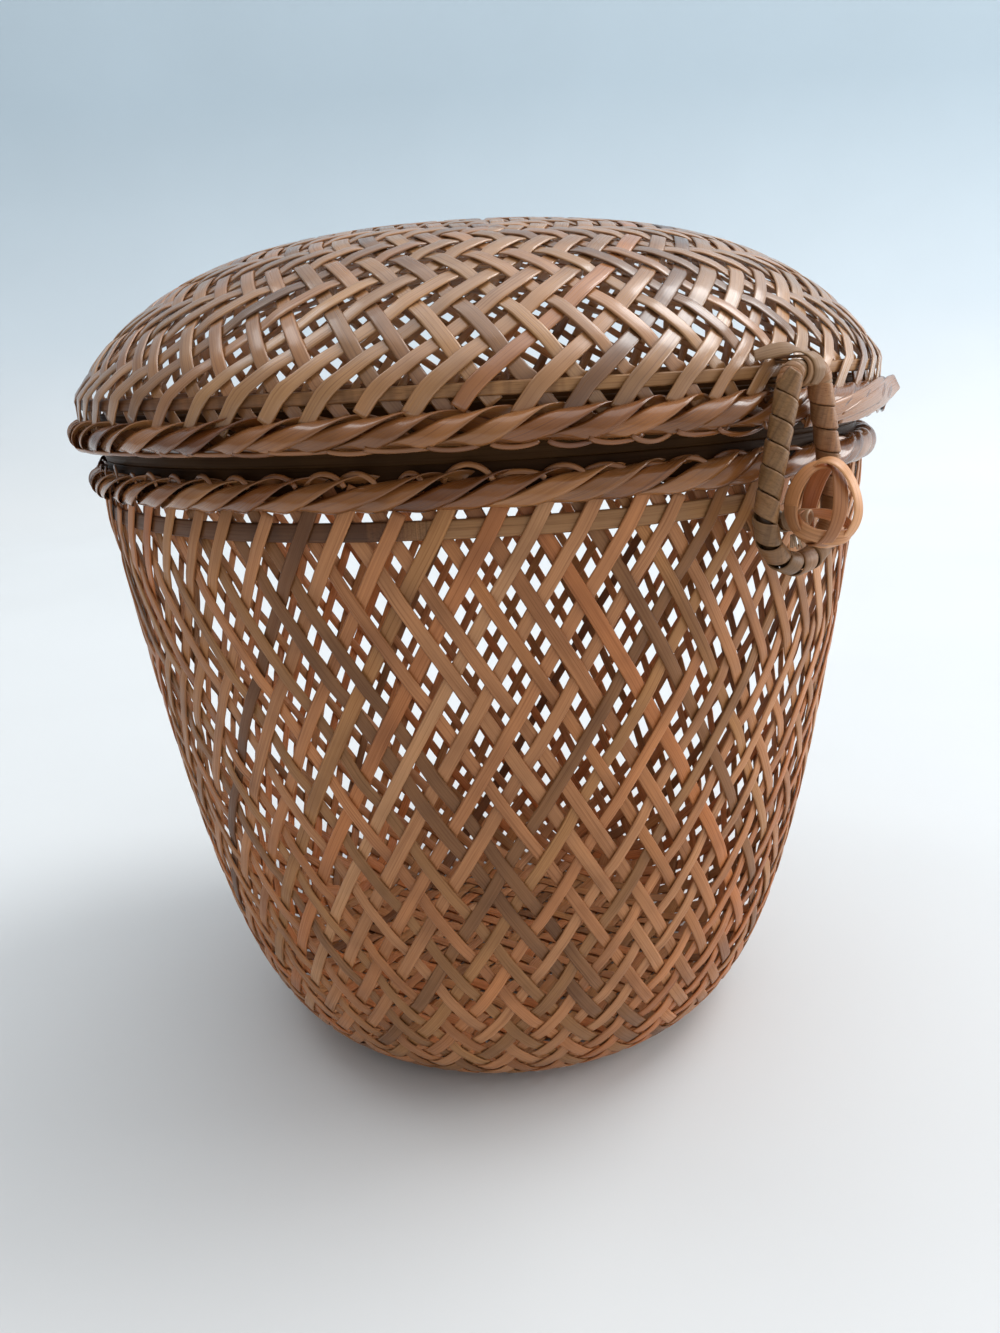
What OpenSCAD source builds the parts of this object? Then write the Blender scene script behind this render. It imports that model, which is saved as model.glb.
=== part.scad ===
// Lidded bamboo basket, plaited from flat splints, with a loop-and-knob closure.
// Millimetres. The origin is the centre of the base on the resting plane, +Z is up,
// the closure faces -Y and the lid hinge is at +Y.

/* [Splints] */
// Width of a splint
splint_w = 3.4; // [2.6:0.1:4.2]
// Thickness of a splint
splint_t = 0.7; // [0.5:0.05:0.8]

/* [Plaiting] */
// Splints that lean each way round a wall
splint_count = 68; // [60:4:76]
// Width of a splint in the plaited walls
plait_w = 2.9; // [2.5:0.1:3.3]
// Lean of the body's splints from upright
body_lean = 30.5; // [28:0.5:36]
// Rows of openings between the splints, down from the body's hoop
body_rows = 7; // [4:1:7]
// Lean of the lid's splints from upright
lid_lean = 41; // [38:0.5:44]
// Rows of openings between the splints, up from the lid's hoop
lid_rows = 5; // [3:1:5]
// Degrees that the lid's plaiting turns to one side for each millimetre up
lid_twist = 0.14; // [0:0.02:0.2]

/* [Body] */
// Radius of the flat of the base
base_r = 38; // [30:1:46]
// Outer radius of the wall at its neck, under the border
neck_r = 94.5; // [88:0.5:102]
// Height of the belly, from the base to the neck
belly_h = 141; // [115:1:165]
// Fullness of the belly: a smaller number makes a squarer basket
belly_power = 0.26; // [0.2:0.01:0.36]

/* [Hoops and borders] */
// Thickness of a hoop
hoop_t = 0.8; // [0.6:0.1:1.2]
// Height of the body's hoop
body_hoop_h = 3.8; // [3:0.1:4.6]
// Plain wall between the belly and the body's hoop
body_hoop_rise = 1.4; // [0.8:0.1:2]
// Height of the lid's hoop
lid_hoop_h = 2.6; // [2:0.1:3.4]
// Open band between the body's hoop and its border
body_hoop_gap = 1.3; // [0.8:0.1:2.4]
// Open band between the lid's border and its hoop
lid_hoop_gap = 1.6; // [1.5:0.1:2.4]
// Plain wall between the lid's hoop and the dome
dome_rise = 0.3; // [0.2:0.1:1]
// Height of a border
rim_h = 7.5; // [6.5:0.1:9]
// Radial thickness of a border
rim_w = 6.2; // [5.6:0.1:7]
// How far a border stands out from its wall
rim_over = 2.6; // [2.2:0.1:2.8]
// Radius of a border's rounded edges
rim_round = 2.6; // [1.5:0.1:2.8]
// How deep a wall's edge sits in its border
rim_seat = 2.5; // [1.5:0.1:2.9]

/* [Lid] */
// How much wider the lid's wall is than the body's
lid_step = 2.9; // [2.4:0.1:3.4]
// Groove between the two borders
lid_gap = 2.5; // [2.2:0.1:3.2]
// Height of the dome above the lid's hoop
dome_h = 34; // [22:1:46]
// Fullness of the dome: a larger number makes a flatter top
dome_power = 3.2; // [2.5:0.1:5]
// Roundness of the dome's shoulder: a smaller number makes a steeper one
dome_round = 0.8; // [0.7:0.05:0.9]

/* [Collar] */
// Height of the collar band
collar_h = 15; // [10:0.5:15.5]
// Thickness of the collar band
collar_t = 1; // [0.8:0.1:1.2]
// Room between the collar and the lid's border
collar_room = 1; // [0.8:0.1:1.3]

/* [Hinge] */
// Radius of the hinge pin
pin_r = 1.3; // [1:0.1:1.6]
// Length of the hinge pin
pin_length = 24; // [22:0.5:40]
// Distance from the middle to each of the body's lashings
lash_spread = 8; // [6:0.5:9]
// Thickness of a lashing
lash_t = 0.8; // [0.6:0.1:1]
// Distance from a wall to the lashing that goes round its border
lash_in = 0.3; // [0.25:0.05:0.5]

/* [Closure loop] */
// Radius of the loop's core rod
core_r = 1.3; // [1:0.1:1.5]
// Thickness of the splint that wraps the rod
wrap_t = 0.5; // [0.4:0.05:0.7]
// Room between the wrapped loop and the knob inside it
knob_room = 0.35; // [0.3:0.05:1]
// Half the length of the bar that the lid's lashings hold
bar_half = 2.1; // [2:0.1:2.6]
// Radius of the bends at the ends of the bar
shoulder_r = 2.2; // [1.8:0.1:2.6]
// Gap between the turns of the wrapping
turn_gap = 0.62; // [0.56:0.02:0.9]
// Least bare rod at the top of each leg
leg_bare = 1.2; // [0.8:0.1:2]

/* [Knob] */
// Outer radius of the knob's cage of rings
knob_r = 7.2; // [6.2:0.1:7.3]
// Thickness of a ring of the cage
ring_t = 0.55; // [0.45:0.05:0.7]
// How far the knob's middle stands in front of the loop
knob_out = 5.2; // [4.5:0.1:6]
// How far the knob's middle stands above its shank
knob_rise = 3.2; // [2:0.1:3.6]
// Radius of the knob's shank
shank_r = 1.9; // [1.6:0.1:2.2]
// Radius of the shank's peg where it passes through the wall and the cage
peg_r = 1; // [0.7:0.1:1.2]
// Radius of the knot that ends the shank inside the wall
knot_r = 2.6; // [2.2:0.1:3.2]
// Thickness of that knot
knot_t = 1.4; // [1:0.1:2]

/* [Clearances] */
// Room round a piece that sits still in another
seat_play = 0.05; // [0.03:0.01:0.1]
// Radial room round a pin that turns
turn_play = 0.05; // [0.02:0.01:0.1]
// Room between the loop's rod and the splint wound round it
wrap_play = 0.12; // [0.1:0.02:0.2]
// Room between pieces that move past each other
sweep_play = 0.5; // [0.4:0.1:0.8]

/* [Hidden] */
$fn = 96;

// Wall: a splint outside and a splint inside, with the hoop between them
wall_t = 2 * splint_t + hoop_t + 2 * seat_play;
lid_wall_r = neck_r + lid_step;

// Heights, from the base up; the lid's hoop leaves room under it for the loop's lashings
body_hoop_z = belly_h + body_hoop_rise;
body_rim_z = body_hoop_z + body_hoop_h + body_hoop_gap;
body_rim_top = body_rim_z + rim_h;
lid_rim_z = body_rim_top + lid_gap;
lid_rim_top = lid_rim_z + rim_h;
loop_tail = max(core_r + turn_play, lid_hoop_h / 2 + seat_play);
loop_tail_room = loop_tail + 2 * (splint_t + seat_play) - lid_hoop_h / 2;
lid_hoop_z = lid_rim_top + max(lid_hoop_gap, loop_tail_room);
dome_z = lid_hoop_z + lid_hoop_h + dome_rise;
body_wall_top = body_rim_z + rim_seat;
lid_wall_foot = lid_rim_top - rim_seat;

// Radii of the borders and the collar
body_rim_r = neck_r + rim_over;
lid_rim_r = lid_wall_r + rim_over;
collar_r = lid_rim_r - rim_w - collar_room;
collar_foot = body_wall_top + splint_t;

// Hinge axis, behind the borders and level with the groove between them
hinge_eye_r = pin_r + turn_play + lash_t;
hinge_y = lid_rim_r + sweep_play + hinge_eye_r;
hinge_z = (body_rim_top + lid_rim_z) / 2;

// Closure loop: its plane, its bar and the wrapping round its rod
wrap_sides = 8;
bend_swell = 0.02;
rod_lap = 0.2;
wrap_in_r = (core_r + bend_swell + wrap_play) / cos(180 / wrap_sides);
wrap_out_r = wrap_in_r + wrap_t;
loop_y = -(lid_rim_r + sweep_play + wrap_out_r);
loop_z = lid_hoop_z + lid_hoop_h / 2;
turn_pitch = splint_w + turn_gap;

// Knob: the shank passes under the hoop, and the cage stands in front of the loop
shank_z = body_hoop_z - shank_r - splint_t / 2;
knob_y = loop_y - knob_out;
knob_z = shank_z + knob_rise;
ring_step = ring_t + seat_play;

// The loop's lower bend swings out round the knob, with its middle at the knob's distance
loop_drop = norm([knob_out, loop_z - knob_z]);
bend_r = knob_r + knob_room + wrap_out_r;

// The legs are common tangents of the shoulders and the lower bend
leg_run = loop_drop - shoulder_r;
leg_span = sqrt(leg_run * leg_run + bar_half * bar_half);
leg_tilt = asin((bend_r - shoulder_r) / leg_span) - atan(bar_half / leg_run);
leg_length = sqrt(leg_span * leg_span - pow(bend_r - shoulder_r, 2));
bend_sweep = 180 + 2 * leg_tilt;
bend_length = bend_sweep * PI / 180 * bend_r;
wrap_room = 2 * (leg_length - leg_bare) + bend_length;
turns = min(24, floor((wrap_room - splint_w) / turn_pitch));
wrap_start = leg_bare + (wrap_room - turns * turn_pitch) / 2;

// The belly's curve, for u from 0 at the base to 1 at the neck, a depth in from its outside
curve_steps = 26;
function belly_point(u, depth) = [
  base_r + (neck_r - depth - base_r) * pow(u, 3 * belly_power),
  depth + (belly_h - depth) * pow(u, 3)
];
// The wall's inner radius at a height on the belly
function belly_inner_r(z) =
  base_r + (neck_r - wall_t - base_r) * pow((z - wall_t) / (belly_h - wall_t), belly_power);

// The dome's curve, for v from 1 at the wall to 0 at the top, a depth in from its outside
function dome_point(v, depth) = [
  (lid_wall_r - depth) * v,
  dome_z + (dome_h - depth) * pow(1 - pow(v, dome_power), dome_round)
];
// Its points lie closer together towards the shoulder
function dome_share(i) = sin(90 * i / curve_steps);

// Outlines of the two walls, each from the middle of its hoop
body_line = concat(
  [[neck_r, body_hoop_z + body_hoop_h / 2]],
  [for (i = [curve_steps:-1:0]) belly_point(i / curve_steps, 0)]
);
lid_line = concat(
  [[lid_wall_r, loop_z]],
  [for (i = [curve_steps:-1:0]) dome_point(dome_share(i), 0)]
);

// The point at a distance along an outline, and the outline's direction there
function walk(line, d, i = 0) =
  let (step = line[i + 1] - line[i], length = norm(step))
  d <= length ? [line[i] + step * d / length, step / length] : walk(line, d - length, i + 1);

// Rows of crossings: half a splint's share of the circumference, at the splints' lean
function share(r) = 2 * PI * r / splint_count;
function row_distance(line, row, lean) =
  row == 0 ? 0
  : let (before = row_distance(line, row - 1, lean))
    before + share(walk(line, before)[0][0]) / 2 / tan(lean);

// A ring's section between two radii and two heights, with rounded edges
round_steps = 6;
function corner(r, z, from) = [
  for (i = [0:round_steps])
    let (a = from + 90 * i / round_steps)
    [r + rim_round * cos(a), z + rim_round * sin(a)]
];
module rim_section(r_out, z) {
  polygon(concat(
    corner(r_out - rim_round, z + rim_round, -90),
    corner(r_out - rim_round, z + rim_h - rim_round, 0),
    corner(r_out - rim_w + rim_round, z + rim_h - rim_round, 90),
    corner(r_out - rim_w + rim_round, z + rim_round, 180)
  ));
}

// A band between two radii and two heights, as a section to be turned
module band_section(r_out, t, z0, z1) {
  translate([r_out - t, z0])
    square([t, z1 - z0]);
}

// A flat shape drawn in (Y, Z), given a width along X
module across(x, w) {
  translate([x - w / 2, 0, 0])
    rotate([90, 0, 90])
      linear_extrude(w)
        children();
}

// The wall's radii on either side of a hoop's slot
module hoop_slot(r_out, z0, z1) {
  band_section(r_out - splint_t, wall_t - 2 * splint_t, z0, z1);
}

module body_weave() {
  color("#a87c52")
    difference() {
      rotate_extrude()
        difference() {
          polygon(concat(
            [[0, 0]],
            [for (i = [0:curve_steps]) belly_point(i / curve_steps, 0)],
            [[neck_r, body_wall_top], [neck_r - wall_t, body_wall_top]],
            [for (i = [curve_steps:-1:0]) belly_point(i / curve_steps, wall_t)],
            [[0, wall_t]]
          ));
          hoop_slot(neck_r, body_hoop_z - seat_play, body_wall_top + 1);
        }
      peg_hole();
      openings(body_line, body_rows, body_lean, 0, -1);
    }
}

// Rows of openings between the crossing splints, along an outline that runs up (1) or down (-1)
module openings(line, rows, lean, twist, way) {
  for (row = [1:rows]) {
    d = row_distance(line, row, lean);
    place = walk(line, d);
    turn = row * 180 / splint_count + twist * d;
    for (k = [0:splint_count - 1])
      rotate([0, 0, turn + k * 360 / splint_count])
        translate([0, -place[0][0], place[0][1]])
          rotate([90 + way * asin(place[1][0]), 0, 0])
            opening(place[0][0], lean, twist);
  }
}

// One opening: the rhomb that four splints leave, through the wall along its normal
module opening(r, lean, twist) {
  half_w = share(r) / 2 - plait_w / 2 / cos(lean);
  half_h = half_w / tan(lean);
  skew = half_h * twist * PI / 180 * r;
  translate([0, 0, -2 * wall_t])
    linear_extrude(2 * wall_t + splint_w)
      polygon([[half_w, 0], [skew, half_h], [-half_w, 0], [-skew, -half_h]]);
}

// The hole that the knob's peg passes through, in the wall and in the cage
module peg_hole() {
  shank_rod(peg_r + seat_play, knob_y, wall_t - neck_r + wall_t);
}

module body_hoop() {
  color("#8f6540")
    rotate_extrude()
      band_section(neck_r - splint_t - seat_play, hoop_t, body_hoop_z, body_hoop_z + body_hoop_h);
}

module body_rim() {
  color("#b08658")
    difference() {
      rotate_extrude()
        difference() {
          rim_section(body_rim_r, body_rim_z);
          band_section(neck_r + seat_play, wall_t + 2 * seat_play, body_rim_z - 1, body_wall_top + seat_play);
          band_section(collar_r + seat_play, collar_t + 2 * seat_play, collar_foot - seat_play, body_rim_top + 1);
        }
      for (x = [-lash_spread, lash_spread])
        lash_window(x, neck_r, body_rim_z);
    }
}

module body_collar() {
  color("#5b4f35")
    rotate_extrude()
      band_section(collar_r, collar_t, collar_foot, collar_foot + collar_h);
}

// The slot through a border that one of the hinge's lashings passes down
module lash_window(x, wall_r, z) {
  across(x, splint_w + 2 * seat_play)
    translate([wall_r + lash_in - seat_play, z - 1])
      square([lash_t + 2 * seat_play, rim_h + 2]);
}

// Hinge lashing: round a border's outer strands, and round the pin as an eye.
// Drawn in (Y, distance from the hinge axis), with the border on the positive side.
module lash_shape(wall_r, rim_r) {
  near = lid_gap / 2 - seat_play;
  far = lid_gap / 2 + rim_h + seat_play;
  tip = [rim_r + lash_t / 2, far + lash_t / 2];
  side = atan2(hinge_y - tip[0], tip[1]);
  reach = [cos(side), sin(side)];
  difference() {
    union() {
      translate([hinge_y, 0])
        circle(hinge_eye_r);
      translate([wall_r + lash_in, near - lash_t])
        square([hinge_y - wall_r - lash_in, lash_t]);
      translate([wall_r + lash_in, near - lash_t])
        square([lash_t, far - near + 2 * lash_t]);
      translate([wall_r + lash_in, far])
        square([rim_r - wall_r - lash_in + lash_t, lash_t]);
      polygon([
        [hinge_y, 0],
        [hinge_y, 0] + hinge_eye_r * reach,
        [rim_r + lash_t, far + lash_t],
        [rim_r, far]
      ]);
    }
    translate([hinge_y, 0])
      circle(pin_r + turn_play);
  }
}

module hinge_lashing(x, wall_r, rim_r, up) {
  color("#9c7a4a")
    translate([0, 0, hinge_z])
      mirror([0, 0, up ? 0 : 1])
        across(x, splint_w)
          lash_shape(wall_r, rim_r);
}

module hinge_lashing_left() {
  hinge_lashing(-lash_spread, neck_r, body_rim_r, false);
}

module hinge_lashing_right() {
  hinge_lashing(lash_spread, neck_r, body_rim_r, false);
}

module hinge_lashing_lid() {
  hinge_lashing(0, lid_wall_r, lid_rim_r, true);
}

module hinge_pin() {
  color("#7d5a35")
    translate([-pin_length / 2, hinge_y, hinge_z])
      rotate([0, 90, 0])
        cylinder(r = pin_r, h = pin_length);
}

module lid_weave() {
  color("#bd9163")
    difference() {
      rotate_extrude()
        difference() {
          polygon(concat(
            [for (i = [0:curve_steps]) dome_point(dome_share(i), wall_t)],
            [[lid_wall_r - wall_t, lid_wall_foot], [lid_wall_r, lid_wall_foot]],
            [for (i = [curve_steps:-1:0]) dome_point(dome_share(i), 0)]
          ));
          hoop_slot(lid_wall_r, lid_wall_foot - 1, lid_hoop_z + lid_hoop_h + seat_play);
        }
      for (side = [-1, 1])
        loop_window(side);
      openings(lid_line, lid_rows, lid_lean, lid_twist, 1);
    }
}

// The slots in the lid's wall, above and below the hoop, for the loop's lashings
module loop_window(side) {
  far = loop_tail + 2 * splint_t + seat_play;
  across(0, splint_w + 2 * seat_play)
    translate([-lid_wall_r - 1, loop_z + (side > 0 ? loop_tail : -far) - seat_play])
      square([1 + wall_t + 2 * (splint_t + 2 * seat_play), far - loop_tail + 2 * seat_play]);
}

module lid_hoop() {
  color("#8f6540")
    rotate_extrude()
      band_section(lid_wall_r - splint_t - seat_play, hoop_t, lid_hoop_z, lid_hoop_z + lid_hoop_h);
}

module lid_rim() {
  color("#b08658")
    difference() {
      rotate_extrude()
        difference() {
          rim_section(lid_rim_r, lid_rim_z);
          band_section(lid_wall_r + seat_play, wall_t + 2 * seat_play, lid_wall_foot - seat_play, lid_rim_top + 1);
        }
      lash_window(0, lid_wall_r, lid_rim_z);
    }
}

// Loop lashing: an eye round the loop's bar, whose tails close behind the lid's hoop and wall
module loop_lashing(layer) {
  eye_in = core_r + turn_play + layer * (splint_t + seat_play);
  eye_out = eye_in + splint_t;
  tail_in = loop_tail + layer * (splint_t + seat_play);
  tail_out = tail_in + splint_t;
  back = -lid_wall_r + wall_t + seat_play + layer * (splint_t + seat_play);
  gap_from = layer == 0 ? eye_out : 0;
  across(0, splint_w)
    difference() {
      union() {
        translate([loop_y, loop_z])
          circle(eye_out);
        translate([loop_y, loop_z - tail_out])
          square([back + splint_t - loop_y, 2 * tail_out]);
      }
      translate([loop_y, loop_z])
        circle(eye_in);
      translate([loop_y + gap_from, loop_z - tail_in])
        square([back - loop_y - gap_from, 2 * tail_in]);
    }
}

module loop_lashing_inner() {
  color("#8a7a4c")
    loop_lashing(0);
}

module loop_lashing_outer() {
  color("#94845a")
    loop_lashing(1);
}

// Part of a round rod bent about the origin in the plane of the loop.
// The bends are a little thicker than the straights, whose ends lap into them.
module rod_bend(radius, from, sweep) {
  rotate([90, 0, 0])
    rotate([0, 0, from])
      rotate_extrude(angle = sweep)
        translate([radius, 0])
          circle(core_r + bend_swell);
}

module loop_core() {
  color("#8c6a3e")
    translate([0, loop_y, loop_z]) {
      translate([-bar_half - rod_lap, 0, 0])
        rotate([0, 90, 0])
          cylinder(r = core_r, h = 2 * (bar_half + rod_lap));
      translate([0, 0, -loop_drop])
        rod_bend(bend_r, 180 - leg_tilt, bend_sweep);
      for (side = [0, 1])
        mirror([side, 0, 0]) {
          translate([bar_half, 0, -shoulder_r])
            rod_bend(shoulder_r, leg_tilt, 90 - leg_tilt);
          translate([bend_r * cos(leg_tilt), 0, bend_r * sin(leg_tilt) - loop_drop])
            rotate([0, -leg_tilt, 0])
              translate([0, 0, -rod_lap])
                cylinder(r = core_r, h = leg_length + 2 * rod_lap);
        }
    }
}

// The rod's middle line below the shoulders, by the distance along it from the left shoulder
function bend_angle(s) = 180 - leg_tilt + (s - leg_length) / bend_r * 180 / PI;
function rod_normal(s) =
  let (a = s < leg_length ? 180 - leg_tilt : s < leg_length + bend_length ? bend_angle(s) : leg_tilt)
  [cos(a), 0, sin(a)];
function rod_point(s) =
  let (
    n = rod_normal(s),
    past = s < leg_length ? s - leg_length : max(0, s - leg_length - bend_length)
  )
  [0, loop_y, loop_z - loop_drop] + bend_r * n + past * [-n[2], 0, n[0]];

// The wrapping's section: distance along the rod and distance from its middle line
wrap_section = [
  [0, wrap_out_r], [splint_w / 2, wrap_out_r], [splint_w / 2, wrap_in_r],
  [0, wrap_in_r], [-splint_w / 2, wrap_in_r], [-splint_w / 2, wrap_out_r]
];
section_sides = len(wrap_section);
wrap_rings = turns * wrap_sides;
function wrap_corner(ring, k) =
  let (
    s = wrap_start + splint_w / 2 + ring * turn_pitch / wrap_sides + wrap_section[k][0],
    a = 360 * ring / wrap_sides
  )
  rod_point(s) + wrap_section[k][1] * (cos(a) * rod_normal(s) + sin(a) * [0, 1, 0]);
wrap_points = [
  for (ring = [0:wrap_rings])
    for (k = [0:section_sides - 1])
      wrap_corner(ring, k)
];
function wrap_index(ring, k) = ring * section_sides + k % section_sides;

// Least distance between the corners of one turn and those of the next
self_gap = min([
  for (ring = [0:wrap_rings - wrap_sides + 1])
    for (step = [wrap_sides - 1:min(wrap_sides + 1, wrap_rings - ring)])
      for (k = [0:section_sides - 1])
        for (m = [0:section_sides - 1])
          norm(wrap_points[wrap_index(ring, k)] - wrap_points[wrap_index(ring + step, m)])
]);
echo(wrap_turns = turns, wrap_least_gap = self_gap);

module loop_wrap() {
  sides = [
    for (ring = [0:wrap_rings - 1])
      for (k = [0:section_sides - 1])
        for (half = [0, 1])
          half == 0
            ? [wrap_index(ring, k), wrap_index(ring, k + 1), wrap_index(ring + 1, k + 1)]
            : [wrap_index(ring, k), wrap_index(ring + 1, k + 1), wrap_index(ring + 1, k)]
  ];
  ends = [
    for (k = [1:section_sides - 2])
      for (last = [0, 1])
        last == 0
          ? [wrap_index(0, 0), wrap_index(0, k + 1), wrap_index(0, k)]
          : [wrap_index(wrap_rings, 0), wrap_index(wrap_rings, k), wrap_index(wrap_rings, k + 1)]
  ];
  color("#8a7a4c")
    polyhedron(wrap_points, concat(sides, ends), convexity = 10);
}

// A ring of the knob's cage: a splint bent on a sphere, round the local Z axis
band_steps = 6;
module knob_ring(layer) {
  r_out = knob_r - layer * ring_step;
  half = asin(splint_w / 2 / r_out);
  arc = [for (i = [0:band_steps]) half * (2 * i / band_steps - 1)];
  rotate_extrude()
    polygon(concat(
      [for (a = arc) r_out * [cos(a), sin(a)]],
      [for (i = [band_steps:-1:0]) (r_out - ring_t) * [cos(arc[i]), sin(arc[i])]]
    ));
}

module knob_ring_outer() {
  color("#b98146")
    difference() {
      translate([0, knob_y, knob_z])
        rotate([0, 90, 0])
          knob_ring(0);
      peg_hole();
    }
}

module knob_ring_middle() {
  color("#a8763f")
    translate([0, knob_y, knob_z])
      rotate([0, 40, 0])
        knob_ring(1);
}

module knob_ring_inner() {
  color("#94683a")
    translate([0, knob_y, knob_z])
      rotate([90, 0, 0])
        knob_ring(2);
}

// A round length along Y on the shank's axis
module shank_rod(r, from, to) {
  translate([0, from, shank_z])
    rotate([-90, 0, 0])
      cylinder(r = r, h = to - from);
}

module knob_shank() {
  wall_out = -neck_r - seat_play;
  wall_in = -belly_inner_r(shank_z - knot_r) + seat_play;
  color("#8a7a4c") {
    difference() {
      union() {
        shank_rod(peg_r, knob_y, wall_in + knot_t);
        shank_rod(knot_r, wall_in, wall_in + knot_t);
      }
      translate([0, knob_y, knob_z])
        sphere(knob_r - ring_t);
    }
    difference() {
      shank_rod(shank_r, knob_y, wall_out);
      translate([0, knob_y, knob_z])
        sphere(knob_r + seat_play);
    }
  }
}

body_weave();
body_hoop();
body_rim();
body_collar();
knob_shank();
knob_ring_outer();
knob_ring_middle();
knob_ring_inner();
hinge_pin();
hinge_lashing_left();
hinge_lashing_right();
lid_weave();
lid_hoop();
lid_rim();
hinge_lashing_lid();
loop_lashing_inner();
loop_lashing_outer();
loop_core();
loop_wrap();
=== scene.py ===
"""Looks of a lidded bamboo basket, plaited from flat splints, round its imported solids."""

import math

import bpy
import numpy as np
from mathutils import Matrix, Vector


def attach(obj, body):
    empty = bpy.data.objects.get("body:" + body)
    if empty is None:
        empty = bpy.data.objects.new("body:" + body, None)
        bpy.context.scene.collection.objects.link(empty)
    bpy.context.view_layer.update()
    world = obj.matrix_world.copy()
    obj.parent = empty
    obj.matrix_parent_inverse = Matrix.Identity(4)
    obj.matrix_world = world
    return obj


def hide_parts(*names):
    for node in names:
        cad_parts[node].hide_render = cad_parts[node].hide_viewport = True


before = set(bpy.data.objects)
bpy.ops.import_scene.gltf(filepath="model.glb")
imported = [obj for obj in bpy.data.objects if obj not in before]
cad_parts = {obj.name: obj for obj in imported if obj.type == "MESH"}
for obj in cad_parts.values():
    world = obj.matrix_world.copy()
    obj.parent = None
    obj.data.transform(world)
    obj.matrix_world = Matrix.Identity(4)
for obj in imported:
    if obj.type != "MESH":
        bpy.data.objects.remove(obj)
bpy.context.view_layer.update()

rng = np.random.default_rng(11)

MM = 0.001
TURN = 2 * math.pi
X_AXIS, Y_AXIS, Z_AXIS = np.eye(3)

# Sizes of the solids, in millimetres
BASE_R = 38.0
NECK_R = 94.5
BELLY_H = 141.0
BELLY_POWER = 0.26
LID_R = 97.4
DOME_Z = 169.5
DOME_H = 34.0
DOME_POWER = 3.2
DOME_ROUND = 0.8
WALL_T = 2.3
BODY_HOOP_Z = (142.4, 146.2)
LID_HOOP_Z = (166.6, 169.2)
COLLAR_R = (91.8, 92.8)
COLLAR_Z = (150.7, 165.7)

# Heights where the outlines that guide the plaiting end
BODY_TOP = 156.0
LID_LOW = 158.0

# Each border's outer radius and lower edge, and the size of its section
BODY_RIM = (97.1, 147.5)
LID_RIM = (100.0, 157.5)
RIM_W = 6.2
RIM_H = 7.5

# Hinge and closure
HINGE_Y = 102.65
HINGE_Z = 156.25
PIN_R = 1.3
LOOP_Y = -102.5586
LOOP_Z = 167.9
CORE_R = 1.3
WRAP_OUT = 2.0587
WIND_R = 2.3
KNOB_Y = -107.7586
KNOB_Z = 143.35
KNOB_R = 7.2
SHANK_Z = 140.15

# Splints of the plaiting: their number each way round, sizes, and lean in degrees
SPLINTS = 68
BODY_SPLINT_W = 2.85
LID_SPLINT_W = 2.95
SPLINT_T = 0.45
LIFT = 0.37
HOOP_LIFT = 0.8
BODY_LEAN = 30.5
LID_LEAN = 41.0
LID_TWIST = 0.14

# Where a splint lies on its material's tones, and how far it strays from there
TONE_MIDDLE = 0.52
WEAVE_SPREAD = 0.27
BORDER_SPREAD = 0.24

# How far round the basket, to the left of its closure, the photograph was taken from
PHOTO_TURN = math.radians(34.5)


# Lines and directions

def unit(vectors):
    """The same directions at length 1."""
    return vectors / np.linalg.norm(vectors, axis=-1, keepdims=True)


def distances(line):
    """How far along a line each of its points is."""
    return np.concatenate([[0], np.cumsum(np.linalg.norm(np.diff(line, axis=0), axis=1))])


def polar(r, theta, z):
    """Points by radius, angle and height; angle 0 is the closure and grows to the right of it."""
    r, theta, z = np.broadcast_arrays(r, theta, z)
    return np.stack([r * np.sin(theta), -r * np.cos(theta), z], -1)


def circle(first, second, angles):
    """Directions round a circle, from the first of two unit vectors towards the second."""
    return np.cos(angles)[:, None] * first + np.sin(angles)[:, None] * second


def between(p0, p1, p2, p3, share):
    """Points a share of the way from p1 to p2, on a smooth curve past all four."""
    return 0.5 * (2 * p1 + (p2 - p0) * share + (2 * p0 - 5 * p1 + 4 * p2 - p3) * share ** 2
                  + (3 * p1 - 3 * p2 + p3 - p0) * share ** 3)


def random_tone(spread):
    """A splint's own place on its material's tones."""
    return float(np.clip(rng.normal(TONE_MIDDLE, spread), 0, 1))


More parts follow.
